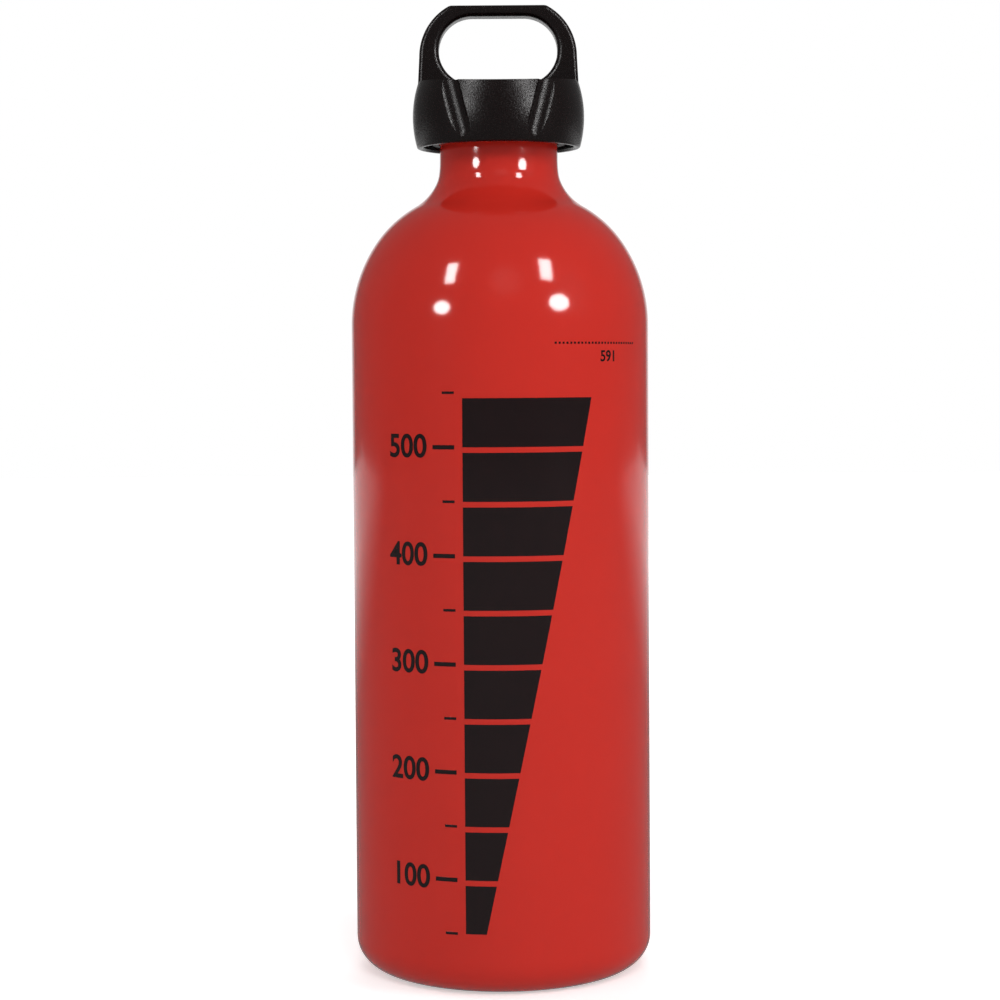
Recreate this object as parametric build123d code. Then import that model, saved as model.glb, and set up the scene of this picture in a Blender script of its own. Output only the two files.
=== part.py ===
"""Camping fuel bottle with a push-down-and-turn cap, in millimetres.

The origin is the centre of the foot on the ground, +Z runs up the bottle, and the carrying loop of the
cap lies in the XZ plane. Outlines of turned pieces are drawn as radius and height, then turned about Z.
"""

import os
from math import acos, cos, degrees, radians, sin, sqrt

from build123d import *

os.makedirs("parts", exist_ok=True)

overrun = 1.0

# Bottle, outside
overall_height = 236.6
body_radius = 36.5
wall = 1.1
base_thickness = 1.6
foot_width = 4.3
dish_depth = 2.4
corner_width = 9.2
corner_height = 8.1
shoulder_radius = 35.8
shoulder_turn = 33.4
crown_radius = 29.1
flare_radius = 12.26
neck_radius = 14.5
neck_length = 9.78
lip_width = 2.4
lip_round = 0.5

# Thread seat inside the neck, drawn at the crests of its thread
thread_seat_depth = 13.0
thread_clearance = 0.1

# Plug
plug_depth = 11.0
plug_wall = 2.2
plug_end_chamfer = 0.8
plate_thickness = 1.8
neck_clearance = 0.25
plug_skirt_wall = 1.45
plug_skirt_overhang = 3.0
collar_drop = 2.2
collar_width = 1.9
collar_thickness = 1.4
well_step = 1.8
well_depth = 4.2
web_thickness = 1.6

# Seal
seal_height = 1.6
seal_side_gap = 0.15

# Drive lugs, the same crown on the plug and, turned by half a pitch, under the ceiling of the cap
lug_count = 8
lug_height = 1.4
lug_length = 5.8
lug_foot_angle = 16.0
lug_crest_angle = 8.0
press_travel = 1.6
press_clearance = 0.2

# Cap
roof_thickness = 1.8
roof_dip_radius = 125.0
rim_overhang = 0.9
rim_round = 0.55
skirt_wall = 2.6
widest_rise = 7.5
barrel_radius = 26.8
collar_side_gap = 0.3
bead_depth = 1.2
bead_land = 0.5
bead_ramp = 0.9

# Grip flutes of the skirt, two in front and two behind
flute_radius = 3.0
flute_depth = 0.75
flute_top_x = 13.2
flute_end_x = 9.5
flute_end_rise = 2.8

# Carrying loop
loop_height = 20.0
loop_depth = 7.0
loop_bar = 2.65
loop_sill = 0.95
loop_leg = 4.75
loop_edge_round = 1.1
loop_inner_round = 1.4
loop_corner_radius = 13.95
loop_corner_cut = 27.3
loop_foot_inset = 1.3
loop_kink_round = 2.0
window_corner_x = 6.3

# Return spring
spring_wire = 0.9
spring_turns = 4
spring_side_gap = 0.95

# Heights that follow, from the top of the loop down
skirt_top = overall_height - loop_height
ceiling = skirt_top - roof_thickness
plate_top = ceiling - press_travel - press_clearance - lug_height
plate_base = plate_top - plate_thickness
lip_height = plate_base - seal_height
collar_height = lip_height - collar_drop
plug_skirt_end = collar_height - plug_skirt_overhang
rim_height = plug_skirt_end - rim_overhang
widest_height = rim_height + widest_rise
flute_end_height = rim_height + flute_end_rise
well_floor = plate_top - well_depth
loop_base = (ceiling + skirt_top) / 2
window_corner_radius = (loop_height - loop_bar - loop_sill) / 2
window_corner_z = skirt_top + loop_sill + window_corner_radius
loop_corner_x = window_corner_x + window_corner_radius + loop_leg - loop_corner_radius
loop_corner_z = overall_height - loop_corner_radius * cos(radians(loop_corner_cut))

# Radii that follow, from the neck outwards and inwards
foot_inner_radius = body_radius - corner_width - foot_width
plug_skirt_bore = neck_radius + neck_clearance
plug_skirt_radius = plug_skirt_bore + plug_skirt_wall
collar_radius = plug_skirt_radius + collar_width
skirt_bore = collar_radius + collar_side_gap
widest_radius = skirt_bore + skirt_wall
loop_foot_x = widest_radius - loop_foot_inset
thread_seat_radius = neck_radius - lip_width
plug_radius = thread_seat_radius - thread_clearance
lug_inner_radius = plug_skirt_radius - lug_length
well_radius = lug_inner_radius - well_step
spring_radius = well_radius - spring_side_gap - spring_wire / 2
lug_pitch = 360 / lug_count
side_top = skirt_top + roof_dip_radius - sqrt(roof_dip_radius**2 - widest_radius**2)


def turned(*lines):
    """Turn a closed outline, drawn as (radius, height), about the bottle's axis."""
    return revolve(Plane.XZ * make_face(list(lines)), Axis.Z)


def turned_polygon(*points):
    return turned(Polyline(*points, close=True))


def shoulder_lines(inset):
    """Lines from the body's side, over both shoulder rounds and the neck flare, to the neck."""
    step = shoulder_radius - crown_radius
    crown_x = body_radius - shoulder_radius + step * cos(radians(shoulder_turn))
    reach = crown_radius + flare_radius
    flare_x = neck_radius + flare_radius
    flare_z = lip_height - neck_length
    turn = degrees(acos((flare_x - crown_x) / reach))
    crown_z = flare_z - reach * sin(radians(turn))
    shoulder_base = crown_z - step * sin(radians(shoulder_turn))
    big = CenterArc((body_radius - shoulder_radius, shoulder_base), shoulder_radius - inset, 0, shoulder_turn)
    small = CenterArc((crown_x, crown_z), crown_radius - inset, shoulder_turn, turn - shoulder_turn)
    flare = CenterArc((flare_x, flare_z), flare_radius + inset, 180 + turn, -turn)
    return [big, small, flare]


def body_outline(inset, floor_thickness, top):
    """Closed half outline of the bottle, from the dished floor to the top of the neck."""
    corner_x = body_radius - corner_width
    dish = ThreePointArc(
        (-foot_inner_radius, floor_thickness),
        (0, dish_depth + floor_thickness),
        (foot_inner_radius, floor_thickness),
    )
    half_dish = dish.trim(0.5, 1)
    foot = Line(half_dish @ 1, (corner_x, floor_thickness))
    corner = EllipticalCenterArc(
        (corner_x, corner_height), corner_width - inset, corner_height - floor_thickness, 270, arc_size=90
    )
    shoulder = shoulder_lines(inset)
    side = Line(corner @ 1, shoulder[0] @ 0)
    neck = Polyline(shoulder[-1] @ 1, (neck_radius - inset, top), (0, top), half_dish @ 0)
    return [half_dish, foot, corner, side, *shoulder, neck]


def make_bottle():
    outside = turned(*body_outline(0, 0, lip_height))
    inside = turned(*body_outline(wall, base_thickness, lip_height + overrun))
    seat_end = lip_height - thread_seat_depth
    seat_reach = neck_radius - thread_seat_radius + overrun
    thread_seat = turned_polygon(
        (thread_seat_radius, lip_height + 2 * overrun),
        (thread_seat_radius, seat_end),
        (thread_seat_radius + seat_reach, seat_end - seat_reach),
        (thread_seat_radius + seat_reach, lip_height + 2 * overrun),
    )
    bottle = outside - (inside - thread_seat)
    lip = bottle.faces().sort_by(Axis.Z)[-1]
    return fillet(lip.edges(), lip_round)


def make_lug():
    """One drive lug, standing on height 0: a steep driving face and, on its other side, a ratchet ramp."""
    middle_radius = (lug_inner_radius + plug_skirt_radius) / 2
    steep = middle_radius * radians(lug_crest_angle / 2)
    ramp = middle_radius * radians(lug_foot_angle - lug_crest_angle / 2)
    profile = Polyline((-steep, 0), (-steep, lug_height), (steep, lug_height), (ramp, 0), close=True)
    start = Plane(origin=(lug_inner_radius - overrun, 0, 0), x_dir=(0, 1, 0), z_dir=(1, 0, 0))
    bar = extrude(start * make_face(profile), plug_skirt_radius - lug_inner_radius + 2 * overrun)
    ring = turned_polygon(
        (lug_inner_radius, 0),
        (plug_skirt_radius, 0),
        (plug_skirt_radius, lug_height),
        (lug_inner_radius, lug_height),
    )
    return bar & ring


def lug_crown(height, tip, first_share):
    """Ring of lugs on a plate at that height, tipped over by that angle, started at a share of a pitch."""
    lug = Rot(tip, 0, 0) * make_lug()
    return [
        Pos(0, 0, height) * Rot(0, 0, (index + first_share) * lug_pitch) * lug
        for index in range(lug_count)
    ]


def make_plug():
    end = lip_height - plug_depth
    hollow_radius = plug_radius - plug_wall
    plug = turned_polygon(
        (0, well_floor - web_thickness),
        (hollow_radius, well_floor - web_thickness),
        (hollow_radius, end),
        (plug_radius - plug_end_chamfer, end),
        (plug_radius, end + plug_end_chamfer),
        (plug_radius, plate_base),
        (plug_skirt_bore, plate_base),
        (plug_skirt_bore, plug_skirt_end),
        (plug_skirt_radius, plug_skirt_end),
        (plug_skirt_radius, collar_height),
        (collar_radius, collar_height),
        (collar_radius, collar_height + collar_thickness),
        (plug_skirt_radius, collar_height + collar_thickness),
        (plug_skirt_radius, plate_top),
        (well_radius, plate_top),
        (well_radius, well_floor),
        (0, well_floor),
    )
    return plug + lug_crown(plate_top, 0, 0)


def make_seal():
    """O-ring, flattened between the lip and the plate of the plug."""
    inner = plug_radius + seal_side_gap
    outer = neck_radius - seal_side_gap
    section = Pos((inner + outer) / 2, lip_height + seal_height / 2) * SlotOverall(outer - inner, seal_height)
    return revolve(Plane.XZ * section, Axis.Z)


def make_spring():
    """Open coil with ground ends, from the floor of the plug's well to the ceiling of the cap."""
    room = ceiling - well_floor
    coil = Helix(pitch=room / spring_turns, height=room, radius=spring_radius)
    section = Plane(origin=coil @ 0, z_dir=coil % 0) * Circle(spring_wire / 2)
    wire = Pos(0, 0, well_floor) * sweep(section, path=coil, is_frenet=True)
    slab_radius = spring_radius + spring_wire
    slab = turned_polygon((0, well_floor), (slab_radius, well_floor), (slab_radius, ceiling), (0, ceiling))
    return wire & slab


def skirt_radius_at(height):
    return widest_radius - barrel_radius + sqrt(barrel_radius**2 - (height - widest_height) ** 2)


def make_skirt():
    """Barrel-shaped skirt and ceiling of the outer cap, with the snap bead inside.

    The roof dips along the middle, under the loop's window, and rises towards the loop's feet.
    """
    side = ThreePointArc(
        (skirt_radius_at(rim_height), rim_height),
        (widest_radius, widest_height),
        (skirt_radius_at(side_top), side_top),
    )
    bead_top = collar_height
    bead_low = bead_top - bead_land
    inner = Polyline(
        side @ 1,
        (0, side_top),
        (0, ceiling),
        (skirt_bore, ceiling),
        (skirt_bore, bead_top),
        (skirt_bore - bead_depth, bead_top),
        (skirt_bore - bead_depth, bead_low),
        (skirt_bore, bead_low - bead_ramp),
        (skirt_bore, rim_height),
        side @ 0,
    )
    skirt = turned(side, inner)
    skirt = fillet(skirt.edges().filter_by(GeomType.CIRCLE).group_by(Axis.Z)[0], rim_round)
    dip = Pos(0, 0, skirt_top + roof_dip_radius) * Rot(90, 0, 0) * Cylinder(roof_dip_radius, 2 * body_radius)
    return skirt - dip


def make_flute(side, facing):
    """Cutter for one grip flute: a slanted round bar with a ball end."""
    centre_offset = flute_radius - flute_depth
    top = side_top + overrun
    top_radius = skirt_radius_at(side_top) + centre_offset
    end_radius = skirt_radius_at(flute_end_height) + centre_offset
    upper = Vector(side * flute_top_x, facing * sqrt(top_radius**2 - flute_top_x**2), top)
    lower = Vector(side * flute_end_x, facing * sqrt(end_radius**2 - flute_end_x**2), flute_end_height)
    along = upper - lower
    bar = extrude(Plane(origin=lower, z_dir=along) * Circle(flute_radius), along.length)
    return bar + Pos(*lower) * Sphere(flute_radius)


def loop_outline():
    """Outside of the carrying loop: feet, rounded corners and the flat top that truncates them."""
    turn = 90 - loop_corner_cut
    right = CenterArc((loop_corner_x, loop_corner_z), loop_corner_radius, 0, turn)
    left = CenterArc((-loop_corner_x, loop_corner_z), loop_corner_radius, 180 - turn, turn)
    flat = Line(right @ 1, left @ 0)
    feet = Polyline(left @ 1, (-loop_foot_x, loop_base), (loop_foot_x, loop_base), right @ 0)
    outline = make_face([right, flat, left, feet])
    kinks = outline.vertices().group_by(Axis.Y)[-1]
    return fillet(kinks, loop_kink_round)


def make_loop():
    """Carrying loop: a flat plate with rounded edges, and a window that is rounded more."""
    window = SlotCenterToCenter(2 * window_corner_x, 2 * window_corner_radius)
    face = loop_outline() - Pos(0, window_corner_z) * window
    loop = extrude(Plane.XZ.offset(-loop_depth / 2) * face, loop_depth)
    flanks = loop.faces().filter_by(Axis.Y)
    outer_edges = [edge for flank in flanks for edge in flank.outer_wire().edges()]
    loop = fillet([edge for edge in outer_edges if edge.center().Z > loop_base + overrun], loop_edge_round)
    flanks = loop.faces().filter_by(Axis.Y)
    loop = fillet([edge for flank in flanks for edge in flank.inner_wires()[0].edges()], loop_inner_round)
    return loop & Cylinder(skirt_radius_at(skirt_top), 2 * overall_height)


def make_cap_shell():
    cap = make_skirt()
    for side in (-1, 1):
        for facing in (-1, 1):
            cap -= make_flute(side, facing)
    return cap + make_loop() + lug_crown(ceiling, 180, 1 / 2)


nodes = {
    "bottle": make_bottle,
    "threaded_plug": make_plug,
    "o_ring": make_seal,
    "return_spring": make_spring,
    "cap_shell": make_cap_shell,
}

for name, make in nodes.items():
    export_step(make(), f"parts/{name}.step")
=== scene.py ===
"""Looks of the camping fuel bottle: enamelled aluminium body, black moulded cap, print, floor and light."""

from math import acos, ceil, cos, degrees, floor, pi, radians, sin

import bpy
from mathutils import Euler, Matrix, Vector


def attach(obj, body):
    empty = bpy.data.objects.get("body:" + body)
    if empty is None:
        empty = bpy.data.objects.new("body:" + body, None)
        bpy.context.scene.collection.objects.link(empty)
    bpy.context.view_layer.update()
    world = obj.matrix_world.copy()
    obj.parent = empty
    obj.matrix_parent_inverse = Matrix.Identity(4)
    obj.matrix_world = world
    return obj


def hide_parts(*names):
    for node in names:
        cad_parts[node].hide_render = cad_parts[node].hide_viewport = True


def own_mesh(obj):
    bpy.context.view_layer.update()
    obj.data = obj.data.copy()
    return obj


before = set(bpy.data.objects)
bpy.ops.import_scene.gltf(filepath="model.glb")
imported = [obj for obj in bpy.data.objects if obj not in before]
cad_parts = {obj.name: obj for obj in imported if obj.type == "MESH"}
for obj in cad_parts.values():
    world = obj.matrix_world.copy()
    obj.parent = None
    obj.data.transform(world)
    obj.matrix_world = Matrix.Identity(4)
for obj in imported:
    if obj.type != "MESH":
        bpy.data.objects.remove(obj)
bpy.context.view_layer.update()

MM = 0.001

# Bottle, in millimetres and degrees; INK_ROOM keeps its skin that much inside the CAD's, under the print
BODY_RADIUS = 36.5
INK_ROOM = 0.05
WALL = 1.1
BASE_THICKNESS = 1.6
FOOT_INNER_RADIUS = 23.0
DISH_DEPTH = 2.4
CORNER_WIDTH = 9.2
CORNER_HEIGHT = 8.1
SHOULDER_RADIUS = 35.8
SHOULDER_TURN = 33.4
CROWN_RADIUS = 29.1
FLARE_RADIUS = 12.26
SLOW_BEND = (28.0, 0, 7)
TIGHT_BEND = (8.0, 7, 25)
NECK_RADIUS = 14.5
NECK_LENGTH = 9.78
LIP_HEIGHT = 208.2
LIP_ROUND = 0.5
BORE_RADIUS = 12.1
THREAD_SEAT_DEPTH = 13.0
TURN_STEPS = 180
HELIX_STEPS = 72
SHARP_EDGE = 35

# Thread of the neck and the plug: its lead, and the height of its first turn at angle 0
THREAD_LEAD = 3.0
THREAD_START = 199.2
PLUG_RADIUS = 12.0

# Groove and ridge of the thread: where each starts and ends, and its width there; the ridge is rooted
# in the plug by a small overlap
GROOVE_FOOT_RADIUS = 11.4
GROOVE_TIP_RADIUS = 12.9
GROOVE_FOOT_WIDTH = 2.5
GROOVE_TIP_WIDTH = 1.0
GROOVE_TURNS = 5
RIDGE_ROOT = 0.1
RIDGE_TIP_RADIUS = 12.8
RIDGE_FOOT_WIDTH = 1.4
RIDGE_TIP_WIDTH = 0.6
RIDGE_TURNS = 2

# Return spring, from the floor of the plug's well up to the cap's ceiling
SPRING_RADIUS = 7.2
SPRING_TURNS = 4
SPRING_FOOT = 207.4
SPRING_LENGTH = 7.4
WIRE_RADIUS = 0.45
WIRE_SIDES = 24

# Printing on the side; each 100 ml of fuel stands 25.4 mm high, from a floor that counts as 2.85 mm
PRINT_RADIUS = 36.47
INK_THICKNESS = 0.04
INK_STRIP = 0.6
LEVEL_FOOT = 2.85
LEVEL_STEP = 25.4
FILL_LINE_HEIGHT = 154.0

# Level wedge: its blocks from left to right of the front's middle, and the slanted cut, tilted in radians
WEDGE_LEFT = -9
WEDGE_RIGHT = 28
WEDGE_GAP = 1.3
WEDGE_BLOCKS = 10
CUT_START = -4
CUT_TILT = 0.21

# Level scale: where its dashes start and end, half their height, and its numbers
LONG_DASH_LEFT = -16.5
LONG_DASH_HALF = 0.5
SHORT_DASH_LEFT = -14
SHORT_DASH_HALF = 0.3
DASH_RIGHT = -11
NUMBER_RIGHT = -18
NUMBER_SIZE = 7.6
NUMBER_BOLDNESS = 0.02

# Dotted fill line and its number
DOT_COUNT = 26
DOT_LEFT = 13
DOT_PITCH = 1
DOT_SIZE = 0.5
FILL_NUMBER_RIGHT = 31
FILL_NUMBER_DROP = 3.2
FILL_NUMBER_SIZE = 3.6

# Points of one piece closer than this are made one
TIDY_GAP = 0.002

# Camera, in millimetres and degrees, and the height that the lamps aim at
SENSOR_WIDTH = 36
LENS = 87.66
CAMERA_PLACE = (-0.25, -601.2, 146.1)
CAMERA_DIP = 2.89
CAMERA_ROLL = -0.38
LAMP_AIM_HEIGHT = 170


# Tools


def deselect_all():
    for item in bpy.context.selected_objects:
        item.select_set(False)


def activate(*items):
    """Select these pieces alone, the first of them active."""
    deselect_all()
    for item in items:
        item.select_set(True)
    bpy.context.view_layer.objects.active = items[0]


def edit_all():
    bpy.ops.object.mode_set(mode="EDIT")
    bpy.ops.mesh.select_all(action="SELECT")


def weld():
    bpy.ops.mesh.select_all(action="SELECT")
    bpy.ops.mesh.remove_doubles(threshold=TIDY_GAP * MM)


def settle(piece):
    """Move a piece's place into its mesh, so that its object sits at the origin."""
    activate(piece)
    bpy.ops.object.transform_apply(location=True, rotation=True, scale=True)
    return piece


def outward(piece):
    activate(piece)
    edit_all()
    bpy.ops.mesh.normals_make_consistent(inside=False)
    bpy.ops.object.mode_set(mode="OBJECT")
    return piece


def smooth(piece):
    activate(piece)
    bpy.ops.object.shade_smooth_by_angle(angle=radians(SHARP_EDGE))
    return piece


def joined(*pieces):
    """Several pieces made one, with their shared rims welded."""
    activate(*pieces)
    bpy.ops.object.join()
    edit_all()
    weld()
    bpy.ops.object.mode_set(mode="OBJECT")
    return pieces[0]


def arc(centre, radius, start, end, steps, rise=None):
    """Points of a round, as radius and height; rise gives an ellipse its own upright radius."""
    upright = radius if rise is None else rise
    turns = [radians(start + (end - start) * i / steps) for i in range(steps + 1)]
    return [(centre[0] + radius * cos(t), centre[1] + upright * sin(t)) for t in turns]


def drawn(name, outline):
    """A wire in the XZ plane, extruded from one point along its outline of radius and height.

    It stays in edit mode.
    """
    deselect_all()
    bpy.ops.mesh.primitive_plane_add(size=MM, location=(outline[0][0] * MM, 0, outline[0][1] * MM))
    piece = settle(bpy.context.object)
    piece.name = name
    edit_all()
    bpy.ops.mesh.merge(type="CENTER")
    for (r0, z0), (r1, z1) in zip(outline, outline[1:]):
        step = ((r1 - r0) * MM, 0, (z1 - z0) * MM)
        bpy.ops.mesh.extrude_region_move(TRANSFORM_OT_translate={"value": step})
    bpy.ops.mesh.select_all(action="SELECT")
    return piece


def spun(name, outline):
    """A turned surface: its outline, spun about the bottle's axis."""
    piece = drawn(name, outline)
    bpy.ops.mesh.spin(steps=TURN_STEPS, angle=-2 * pi, center=(0, 0, 0), axis=(0, 0, 1))
    weld()
    bpy.ops.object.mode_set(mode="OBJECT")
    return piece


def helical_bar(name, section, turns, lead=THREAD_LEAD):
    """A closed section of radius and height, screwed up the bottle's axis by that lead a turn."""
    bar = drawn(name, section)
    bpy.ops.mesh.edge_face_add()
    bpy.ops.mesh.select_all(action="SELECT")
    bpy.ops.mesh.delete(type="ONLY_FACE")
    bpy.ops.object.mode_set(mode="OBJECT")
    screw = bar.modifiers.new("helix", "SCREW")
    screw.axis = "Z"
    screw.angle = 2 * pi
    screw.screw_offset = lead * MM
    screw.iterations = turns
    screw.steps = HELIX_STEPS
    screw.render_steps = HELIX_STEPS
    bpy.ops.object.modifier_apply(modifier=screw.name)
    edit_all()
    weld()
    bpy.ops.mesh.select_all(action="DESELECT")
    bpy.ops.mesh.select_non_manifold()
    bpy.ops.mesh.edge_face_add()
    bpy.ops.object.mode_set(mode="OBJECT")
    return outward(bar)


def cut_away(piece, cutter):
    activate(piece)
    cut = piece.modifiers.new("groove", "BOOLEAN")
    cut.operation = "DIFFERENCE"
    cut.solver = "EXACT"
    cut.material_mode = "TRANSFER"
    cut.object = cutter
    bpy.ops.object.modifier_apply(modifier=cut.name)
    bpy.data.objects.remove(cutter)
    return piece


def linear(code):
    """sRGB hex colour as linear red, green, blue and full alpha."""
    parts = [int(code[i:i + 2], 16) / 255 for i in (1, 3, 5)]
    return tuple(c / 12.92 if c <= 0.04045 else ((c + 0.055) / 1.055) ** 2.4 for c in parts) + (1.0,)


def add_node(tree, kind, settings=None, **links):
    """A node with its settings and links.

    A link's name is its input's, or an underscore and the input's number.
    """
    node = tree.nodes.new(kind)
    for key, value in (settings or {}).items():
        if key in node.inputs.keys() or isinstance(key, int):
            node.inputs[key].default_value = value
        else:
            setattr(node, key, value)
    for key, source in links.items():
        target = int(key[1:]) if key[0] == "_" else key.replace("_", " ")
        tree.links.new(source, node.inputs[target])
    return node


def new_material(name):
    material = bpy.data.materials.new(name)
    material.use_nodes = True
    material.node_tree.nodes.clear()
    return material, material.node_tree


# Materials


def orange_peel(tree, place):
    """Faint waves that a sprayed and baked coat dries with, a few millimetres long."""
    peel = add_node(
        tree, "ShaderNodeTexNoise", {"Scale": 1 / (2.6 * MM), "Detail": 1.0, "Roughness": 0.4}, Vector=place
    )
    return add_node(
        tree, "ShaderNodeBump", {"Strength": 0.12, "Distance": 0.05 * MM}, Height=peel.outputs["Fac"]
    ).outputs[0]


def clouded(tree, place, size, first, second):
    """A colour that drifts between two close tones, in clouds of that size."""
    clouds = add_node(tree, "ShaderNodeTexNoise", {"Scale": 1 / (size * MM), "Detail": 2.0}, Vector=place)
    return add_node(
        tree, "ShaderNodeMix", {"data_type": "RGBA", 6: linear(first), 7: linear(second)},
        _0=clouds.outputs["Fac"],
    ).outputs[2]


def red_enamel():
    """Oven-cured gloss enamel on aluminium: deep red under a clear skin with a faint orange peel."""
    material, tree = new_material("red_gloss_enamel")
    place = add_node(tree, "ShaderNodeTexCoord").outputs["Object"]
    shader = add_node(
        tree, "ShaderNodeBsdfPrincipled",
        {"Roughness": 0.5, "Specular IOR Level": 0.0,
         "Coat Weight": 1.0, "Coat Roughness": 0.09, "Coat IOR": 1.5},
        Base_Color=clouded(tree, place, 24, "#c92b21", "#cd2e24"), Coat_Normal=orange_peel(tree, place),
    )
    add_node(tree, "ShaderNodeOutputMaterial", Surface=shader.outputs[0])
    return material


def bare_aluminium():
    """Impact-extruded aluminium, bare inside: pale grey, with fine rings from drawing and ironing."""
    material, tree = new_material("bare_extruded_aluminium")
    place = add_node(tree, "ShaderNodeTexCoord").outputs["Object"]
    squeezed = add_node(tree, "ShaderNodeMapping", {"Scale": (0.02, 0.02, 1.0)}, Vector=place)
    rings = add_node(
        tree, "ShaderNodeTexNoise", {"Scale": 1 / (0.6 * MM), "Detail": 3.0}, Vector=squeezed.outputs[0]
    )
    grooves = add_node(
        tree, "ShaderNodeBump", {"Strength": 0.3, "Distance": 0.02 * MM}, Height=rings.outputs["Fac"]
    )
    shader = add_node(
        tree, "ShaderNodeBsdfPrincipled",
        {"Base Color": linear("#dcdddf"), "Metallic": 1.0, "Roughness": 0.3},
        Normal=grooves.outputs[0],
    )
    add_node(tree, "ShaderNodeOutputMaterial", Surface=shader.outputs[0])
    return material


def moulded_nylon(name, colour, roughness):
    """Injection-moulded black nylon: satin, its highlights broken up by the mould's spark-eroded grain."""
    material, tree = new_material(name)
    place = add_node(tree, "ShaderNodeTexCoord").outputs["Object"]
    grain = add_node(
        tree, "ShaderNodeTexNoise", {"Scale": 1 / (0.36 * MM), "Detail": 2.0, "Roughness": 0.6}, Vector=place
    )
    skin = add_node(
        tree, "ShaderNodeBump", {"Strength": 1.0, "Distance": 0.058 * MM}, Height=grain.outputs["Fac"]
    )
    gloss = add_node(
        tree, "ShaderNodeMapRange",
        {"From Min": 0.3, "From Max": 0.7, "To Min": roughness - 0.06, "To Max": roughness + 0.06},
        Value=grain.outputs["Fac"],
    )
    shader = add_node(
        tree, "ShaderNodeBsdfPrincipled",
        {"Base Color": linear(colour), "IOR": 1.53, "Specular IOR Level": 0.3},
        Normal=skin.outputs[0], Roughness=gloss.outputs[0],
    )
    add_node(tree, "ShaderNodeOutputMaterial", Surface=shader.outputs[0])
    return material


def nitrile_rubber():
    """Moulded nitrile rubber of the seal: dull black, faintly cloudy with the bloom that it sweats out."""
    material, tree = new_material("nitrile_rubber")
    place = add_node(tree, "ShaderNodeTexCoord").outputs["Object"]
    pits = add_node(tree, "ShaderNodeTexNoise", {"Scale": 1 / (0.2 * MM), "Detail": 2.0}, Vector=place)
    skin = add_node(
        tree, "ShaderNodeBump", {"Strength": 0.3, "Distance": 0.02 * MM}, Height=pits.outputs["Fac"]
    )
    shader = add_node(
        tree, "ShaderNodeBsdfPrincipled", {"Roughness": 0.6, "IOR": 1.52},
        Base_Color=clouded(tree, place, 1.5, "#131314", "#1d1d1e"), Normal=skin.outputs[0],
    )
    add_node(tree, "ShaderNodeOutputMaterial", Surface=shader.outputs[0])
    return material


def spring_wire():
    """Drawn stainless spring wire: bright grey, with fine streaks of the drawing die round each coil."""
    material, tree = new_material("stainless_spring_wire")
    place = add_node(tree, "ShaderNodeTexCoord").outputs["Object"]
    squeezed = add_node(tree, "ShaderNodeMapping", {"Scale": (0.05, 0.05, 1.0)}, Vector=place)
    streaks = add_node(
        tree, "ShaderNodeTexNoise", {"Scale": 1 / (0.12 * MM), "Detail": 2.0}, Vector=squeezed.outputs[0]
    )
    shine = add_node(
        tree, "ShaderNodeMapRange", {"To Min": 0.2, "To Max": 0.4}, Value=streaks.outputs["Fac"]
    )
    shader = add_node(
        tree, "ShaderNodeBsdfPrincipled", {"Base Color": linear("#b9babd"), "Metallic": 1.0},
        Roughness=shine.outputs[0],
    )
    add_node(tree, "ShaderNodeOutputMaterial", Surface=shader.outputs[0])
    return material


def black_ink():
    """Screen-printed epoxy ink: near black and opaque, baked with the enamel and as glossy as it."""
    material, tree = new_material("black_screen_ink")
    place = add_node(tree, "ShaderNodeTexCoord").outputs["Object"]
    shader = add_node(
        tree, "ShaderNodeBsdfPrincipled",
        {"Roughness": 0.5, "Specular IOR Level": 0.0,
         "Coat Weight": 1.0, "Coat Roughness": 0.1, "Coat IOR": 1.5},
        Base_Color=clouded(tree, place, 5, "#15080a", "#1b0b0c"), Coat_Normal=orange_peel(tree, place),
    )
    add_node(tree, "ShaderNodeOutputMaterial", Surface=shader.outputs[0])
    return material


# Bottle


def dish_outline(lift):
    """The dished floor from the centre to the foot ring, raised by the floor's thickness."""
    sphere = (FOOT_INNER_RADIUS**2 + DISH_DEPTH**2) / (2 * DISH_DEPTH)
    reach = degrees(acos((sphere - DISH_DEPTH) / sphere))
    return arc((0, lift + DISH_DEPTH - sphere), sphere, 90, 90 - reach, 10)


def flare_outline(inset, turn):
    """The neck's flare from the neck down: a slow bend, a tight one and a wide one.

    Each bend has a radius, a first tilt and a last tilt. The wide one ends where a plain flare would.
    """
    bends = [SLOW_BEND, TIGHT_BEND]
    across = FLARE_RADIUS * (1 - cos(radians(turn)))
    for radius, start, end in bends:
        across -= radius * (cos(radians(start)) - cos(radians(end)))
    last_tilt = TIGHT_BEND[2]
    bends.append((across / (cos(radians(last_tilt)) - cos(radians(turn))), last_tilt, turn))
    drop = sum(radius * (sin(radians(end)) - sin(radians(start))) for radius, start, end in bends)
    x, z = NECK_RADIUS, LIP_HEIGHT - NECK_LENGTH - FLARE_RADIUS * sin(radians(turn)) + drop
    points = []
    for radius, start, end in bends:
        centre = (x + radius * cos(radians(start)), z + radius * sin(radians(start)))
        points += arc(centre, radius + inset, 180 + start, 180 + end, 10)[:-1]
        x, z = centre[0] - radius * cos(radians(end)), centre[1] - radius * sin(radians(end))
    return points


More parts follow.
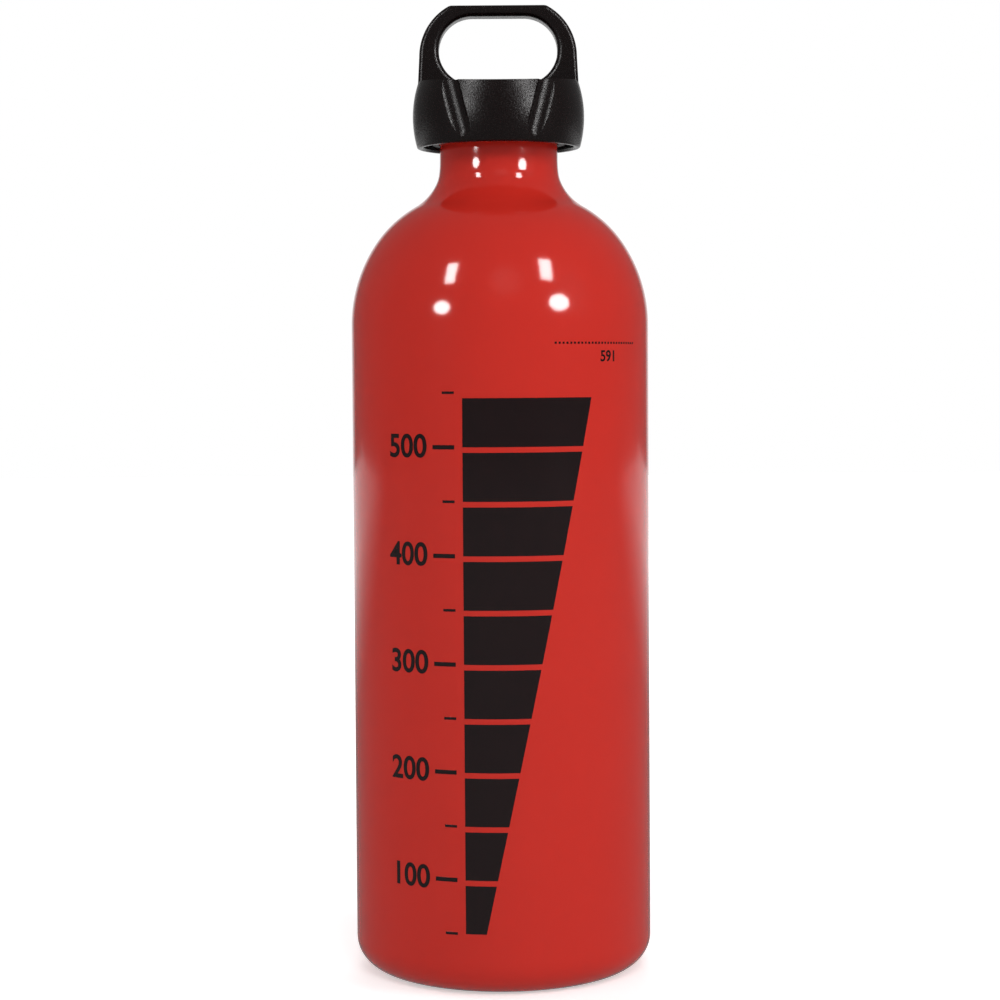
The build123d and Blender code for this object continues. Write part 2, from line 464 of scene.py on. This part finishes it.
def shoulder_outline(inset):
    """From the body's side over both shoulder rounds and the neck's flare, at that depth in the wall."""
    step = SHOULDER_RADIUS - CROWN_RADIUS
    crown_x = BODY_RADIUS - SHOULDER_RADIUS + step * cos(radians(SHOULDER_TURN))
    flare = (NECK_RADIUS + FLARE_RADIUS, LIP_HEIGHT - NECK_LENGTH)
    reach = CROWN_RADIUS + FLARE_RADIUS
    turn = degrees(acos((flare[0] - crown_x) / reach))
    crown = (crown_x, flare[1] - reach * sin(radians(turn)))
    big = (BODY_RADIUS - SHOULDER_RADIUS, crown[1] - step * sin(radians(SHOULDER_TURN)))
    return (
        arc(big, SHOULDER_RADIUS - inset, 0, SHOULDER_TURN, 20)
        + arc(crown, CROWN_RADIUS - inset, SHOULDER_TURN, turn, 16)[1:]
        + flare_outline(inset, turn)[::-1]
    )


def outer_outline():
    corner = (BODY_RADIUS - CORNER_WIDTH, CORNER_HEIGHT)
    foot = arc(corner, CORNER_WIDTH - INK_ROOM, 270, 360, 18, rise=CORNER_HEIGHT)
    neck = [(NECK_RADIUS - INK_ROOM, LIP_HEIGHT - LIP_ROUND)]
    return dish_outline(0) + foot + shoulder_outline(INK_ROOM) + neck


def inner_outline():
    corner = (BODY_RADIUS - CORNER_WIDTH, CORNER_HEIGHT)
    foot = arc(corner, CORNER_WIDTH - WALL, 270, 360, 12, rise=CORNER_HEIGHT - BASE_THICKNESS)
    seat_end = LIP_HEIGHT - THREAD_SEAT_DEPTH
    under_seat = [p for p in shoulder_outline(WALL) if p[1] < seat_end - p[0] + BORE_RADIUS]
    lip_low = LIP_HEIGHT - LIP_ROUND
    lip = (
        arc((BORE_RADIUS + LIP_ROUND, lip_low), LIP_ROUND, 180, 90, 5)
        + arc((NECK_RADIUS - INK_ROOM - LIP_ROUND, lip_low), LIP_ROUND, 90, 0, 5)
    )
    return dish_outline(BASE_THICKNESS) + foot + under_seat + [(BORE_RADIUS, seat_end)] + lip


def trapezoid(foot_radius, tip_radius, foot_width, tip_width, height):
    """Section of a thread's ridge or groove, from its wide foot to its narrow tip."""
    return [
        (foot_radius, height - foot_width / 2),
        (tip_radius, height - tip_width / 2),
        (tip_radius, height + tip_width / 2),
        (foot_radius, height + foot_width / 2),
    ]


def make_bottle():
    outside = spun("bottle_body", outer_outline())
    outside.data.materials.append(red_enamel())
    aluminium = bare_aluminium()
    inside = spun("bottle_inside", inner_outline())
    inside.data.materials.append(aluminium)
    bottle = outward(joined(outside, inside))
    section = trapezoid(
        GROOVE_FOOT_RADIUS, GROOVE_TIP_RADIUS, GROOVE_FOOT_WIDTH, GROOVE_TIP_WIDTH, THREAD_START - THREAD_LEAD
    )
    groove = helical_bar("neck_groove", section, GROOVE_TURNS)
    groove.data.materials.append(aluminium)
    cut_away(bottle, groove)
    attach(smooth(bottle), "bottle")
    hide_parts("bottle")


def make_plug_thread(nylon):
    section = trapezoid(
        PLUG_RADIUS - RIDGE_ROOT, RIDGE_TIP_RADIUS, RIDGE_FOOT_WIDTH, RIDGE_TIP_WIDTH, THREAD_START
    )
    ridge = helical_bar("plug_thread", section, RIDGE_TURNS)
    ridge.data.materials.append(nylon)
    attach(smooth(ridge), "plug")


def make_spring():
    """Open coil with ground ends. It shortens towards the plug as the cap is pressed down on it."""
    last_turn = 360 - 360 / WIRE_SIDES
    section = arc((SPRING_RADIUS, SPRING_FOOT), WIRE_RADIUS, 0, last_turn, WIRE_SIDES - 1)
    coil = helical_bar("spring_coil", section, SPRING_TURNS, SPRING_LENGTH / SPRING_TURNS)
    edit_all()
    for height, upwards in ((SPRING_FOOT, -1), (SPRING_FOOT + SPRING_LENGTH, 1)):
        bpy.ops.mesh.select_all(action="SELECT")
        bpy.ops.mesh.bisect(
            plane_co=(0, 0, height * MM), plane_no=(0, 0, upwards), clear_outer=True, use_fill=True,
            threshold=TIDY_GAP * MM,
        )
    bpy.ops.object.mode_set(mode="OBJECT")
    coil.data.materials.append(spring_wire())
    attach(smooth(outward(coil)), "spring")
    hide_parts("return_spring")
    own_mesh(coil)


# Printing


def level(hundreds):
    """Height on the side that so many hundred millilitres reach."""
    return LEVEL_FOOT + LEVEL_STEP * hundreds


def flat_block(left, right, low, high):
    """A rectangle of ink in the XZ plane, from left to right of the front's middle and from low to high."""
    deselect_all()
    bpy.ops.mesh.primitive_cube_add(
        size=MM, location=((left + right) / 2 * MM, 0, (low + high) / 2 * MM),
        scale=(right - left, INK_THICKNESS, high - low),
    )
    return settle(bpy.context.object)


def flat_number(text, right, height, size):
    """A number of ink in the XZ plane, set against its right-hand end."""
    deselect_all()
    bpy.ops.object.text_add(location=(right * MM, 0, height * MM), rotation=(pi / 2, 0, 0))
    number = bpy.context.object
    number.data.body = text
    number.data.size = size * MM
    number.data.offset = NUMBER_BOLDNESS * size * MM
    number.data.extrude = INK_THICKNESS / 2 * MM
    number.data.align_x = "RIGHT"
    number.data.align_y = "CENTER"
    bpy.ops.object.convert(target="MESH")
    return settle(number)


def side_point(strip):
    """The place on the side of a strip's left edge; strips are counted from the front's middle."""
    turn = strip * INK_STRIP / PRINT_RADIUS
    return Vector((sin(turn), -cos(turn), 0))


def laid_round(name, ink, pieces):
    """Flat pieces of ink joined, cut into upright strips and laid on the side strip by strip."""
    sheet = joined(*pieces)
    sheet.name = name
    edges = [corner[0] / (INK_STRIP * MM) for corner in sheet.bound_box]
    edit_all()
    for strip in range(ceil(min(edges)), ceil(max(edges))):
        bpy.ops.mesh.select_all(action="SELECT")
        bpy.ops.mesh.bisect(plane_co=(strip * INK_STRIP * MM, 0, 0), plane_no=(1, 0, 0))
    bpy.ops.object.mode_set(mode="OBJECT")
    for vertex in sheet.data.vertices:
        across = vertex.co.x / (INK_STRIP * MM)
        strip = floor(across)
        chord = side_point(strip).lerp(side_point(strip + 1), across - strip)
        vertex.co = chord * (PRINT_RADIUS * MM - vertex.co.y) + Vector((0, 0, vertex.co.z))
    sheet.data.materials.clear()
    sheet.data.materials.append(ink)
    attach(smooth(outward(sheet)), "bottle")
    return sheet


def make_level_wedge(ink):
    """A column of blocks, one for each 50 ml, that widens upwards behind one slanted cut."""
    steps = [0.5 + step / 2 for step in range(WEDGE_BLOCKS)]
    blocks = [
        flat_block(WEDGE_LEFT, WEDGE_RIGHT, level(step), level(step + 0.5) - WEDGE_GAP) for step in steps
    ]
    wedge = joined(*blocks)
    edit_all()
    bpy.ops.mesh.bisect(
        plane_co=(CUT_START * MM, 0, level(0.5) * MM), plane_no=(cos(CUT_TILT), 0, -sin(CUT_TILT)),
        clear_outer=True, use_fill=True,
    )
    bpy.ops.object.mode_set(mode="OBJECT")
    laid_round("printed_level_wedge", ink, [wedge])


def make_level_scale(ink):
    """A dash at each 50 ml, and a longer one with its number at each 100 ml."""
    marks = []
    for half in range(1, WEDGE_BLOCKS + 2):
        height = level(half / 2)
        numbered = half % 2 == 0
        left = LONG_DASH_LEFT if numbered else SHORT_DASH_LEFT
        thick = LONG_DASH_HALF if numbered else SHORT_DASH_HALF
        marks.append(flat_block(left, DASH_RIGHT, height - thick, height + thick))
        if numbered:
            marks.append(flat_number(str(50 * half), NUMBER_RIGHT, height, NUMBER_SIZE))
    laid_round("printed_level_scale", ink, marks)


def make_fill_line(ink):
    """Dotted line at the highest safe level, with its volume under it."""
    low, high = FILL_LINE_HEIGHT - DOT_SIZE / 2, FILL_LINE_HEIGHT + DOT_SIZE / 2
    lefts = [DOT_LEFT + DOT_PITCH * dot for dot in range(DOT_COUNT)]
    dots = [flat_block(left, left + DOT_SIZE, low, high) for left in lefts]
    number = flat_number("591", FILL_NUMBER_RIGHT, FILL_LINE_HEIGHT - FILL_NUMBER_DROP, FILL_NUMBER_SIZE)
    laid_round("printed_fill_line", ink, dots + [number])


def paint(node, material):
    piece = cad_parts[node]
    piece.data.materials.clear()
    piece.data.materials.append(material)


# Camera, light and floor


def make_camera():
    data = bpy.data.cameras.new("camera")
    data.sensor_width = SENSOR_WIDTH
    data.lens = LENS
    data.clip_start = 0.01
    data.clip_end = 20
    camera = bpy.data.objects.new("camera", data)
    dip = Euler((radians(90 - CAMERA_DIP), 0, 0)).to_matrix()
    tilt = dip @ Matrix.Rotation(radians(CAMERA_ROLL), 3, "Z")
    camera.matrix_world = Matrix.Translation(Vector(CAMERA_PLACE) * MM) @ tilt.to_4x4()
    bpy.context.scene.collection.objects.link(camera)
    bpy.context.scene.camera = camera


def make_lamp(name, side, lift, distance, size, power, shape="ELLIPSE", roll=0, mirrored=True):
    """A soft lamp aimed at the shoulder from so many degrees to the camera's right and upwards.

    A mirrored lamp only gives the highlights, and the others only the even light of a room of soft boxes.
    """
    data = bpy.data.lights.new(name, "AREA")
    data.shape = shape
    data.size = size[0]
    data.size_y = size[1]
    data.energy = power
    lamp = bpy.data.objects.new(name, data)
    towards = Vector((
        sin(radians(side)) * cos(radians(lift)),
        -cos(radians(side)) * cos(radians(lift)),
        sin(radians(lift)),
    ))
    lamp.location = Vector((0, 0, LAMP_AIM_HEIGHT * MM)) + towards * distance
    aim = towards.to_track_quat("Z", "Y").to_matrix() @ Matrix.Rotation(radians(roll), 3, "Z")
    lamp.rotation_euler = aim.to_euler()
    lamp.visible_diffuse = not mirrored
    lamp.visible_glossy = mirrored
    bpy.context.scene.collection.objects.link(lamp)


def make_lamps():
    make_lamp("left_high_lamp", -43.8, 36.5, 1.2, (0.15, 0.315), 3.3, shape="RECTANGLE", roll=10)
    make_lamp("left_low_lamp", -45.5, 11.9, 6.0, (1.35, 0.96), 83.0)
    make_lamp("right_high_lamp", 43.0, 39.1, 1.2, (0.18, 0.335), 4.1, shape="RECTANGLE", roll=-16)
    make_lamp("right_low_lamp", 46.8, 14.8, 2.0, (0.56, 0.4), 14.0)
    make_lamp("front_soft_box", 5.0, 33.0, 1.5, (0.6, 0.6), 8.2, mirrored=False)
    make_lamp("right_soft_box", 62.0, 22.0, 1.5, (0.6, 0.9), 6.2, mirrored=False)
    make_lamp("left_soft_box", -110.0, 15.0, 1.5, (0.5, 0.8), 3.0, mirrored=False)
    make_lamp("back_soft_box", 180.0, 30.0, 1.5, (0.8, 0.8), 6.0, mirrored=False)


def make_world():
    """White for the eye and behind the bottle, a dim room in its other reflections, and an even fill."""
    world = bpy.data.worlds.new("studio")
    bpy.context.scene.world = world
    world.use_nodes = True
    tree = world.node_tree
    tree.nodes.clear()
    path = add_node(tree, "ShaderNodeLightPath")
    place = add_node(tree, "ShaderNodeTexCoord").outputs["Generated"]
    direction = add_node(tree, "ShaderNodeSeparateXYZ", _0=place)
    behind = add_node(
        tree, "ShaderNodeMapRange", {"From Min": 0.9, "From Max": 0.985, "To Min": 0.17, "To Max": 1.0},
        Value=direction.outputs["Y"],
    )
    room = add_node(
        tree, "ShaderNodeMapRange", {"To Min": 0.32},
        Value=path.outputs["Is Glossy Ray"], To_Max=behind.outputs[0],
    )
    seen = add_node(
        tree, "ShaderNodeMath", {"operation": "MAXIMUM"},
        _0=path.outputs["Is Camera Ray"], _1=path.outputs["Is Transmission Ray"],
    )
    strength = add_node(
        tree, "ShaderNodeMath", {"operation": "MAXIMUM"}, _0=room.outputs[0], _1=seen.outputs[0]
    )
    light = add_node(tree, "ShaderNodeBackground", {"Color": linear("#ffffff")}, Strength=strength.outputs[0])
    add_node(tree, "ShaderNodeOutputWorld", Surface=light.outputs[0])


def make_floor():
    """Matt white paper, which looks white away from the bottle's shadow."""
    deselect_all()
    bpy.ops.mesh.primitive_plane_add(size=6, location=(0, 0, 0))
    floor = bpy.context.object
    floor.name = "floor"
    material, tree = new_material("matt_white_paper")
    place = add_node(tree, "ShaderNodeTexCoord").outputs["Object"]
    across = add_node(tree, "ShaderNodeSeparateXYZ", _0=place)
    away = add_node(tree, "ShaderNodeVectorMath", {"operation": "LENGTH"}, _0=place)
    glow = add_node(
        tree, "ShaderNodeMapRange", {"From Min": 0.1, "From Max": 0.8, "To Min": 0.5, "To Max": 1.0},
        Value=away.outputs["Value"],
    )
    path = add_node(tree, "ShaderNodeLightPath")
    lift = add_node(
        tree, "ShaderNodeMath", {"operation": "MULTIPLY"},
        _0=path.outputs["Is Camera Ray"], _1=glow.outputs[0],
    )
    white = add_node(tree, "ShaderNodeEmission", {"Color": linear("#ffffff")}, Strength=lift.outputs[0])
    paper = add_node(tree, "ShaderNodeBsdfDiffuse", {"Color": linear("#f2f2f2")})
    lit = add_node(tree, "ShaderNodeAddShader", _0=paper.outputs[0], _1=white.outputs[0])
    behind = add_node(
        tree, "ShaderNodeMapRange", {"From Min": 0.4, "From Max": 1.2, "To Min": 0.24, "To Max": 1.0},
        Value=across.outputs["Y"],
    )
    mirrored = add_node(tree, "ShaderNodeEmission", {"Color": linear("#ffffff")}, Strength=behind.outputs[0])
    either = add_node(
        tree, "ShaderNodeMixShader",
        _0=path.outputs["Is Glossy Ray"], _1=lit.outputs[0], _2=mirrored.outputs[0],
    )
    add_node(tree, "ShaderNodeOutputMaterial", Surface=either.outputs[0])
    floor.data.materials.append(material)


scene = bpy.context.scene
scene.view_settings.view_transform = "Standard"

make_camera()
make_world()
make_lamps()
make_floor()
make_bottle()
ink = black_ink()
make_level_wedge(ink)
make_level_scale(ink)
make_fill_line(ink)
plug_nylon = moulded_nylon("black_plug_nylon", "#171617", 0.45)
make_plug_thread(plug_nylon)
paint("threaded_plug", plug_nylon)
paint("cap_shell", moulded_nylon("black_cap_nylon", "#0f0505", 0.27))
paint("o_ring", nitrile_rubber())
make_spring()
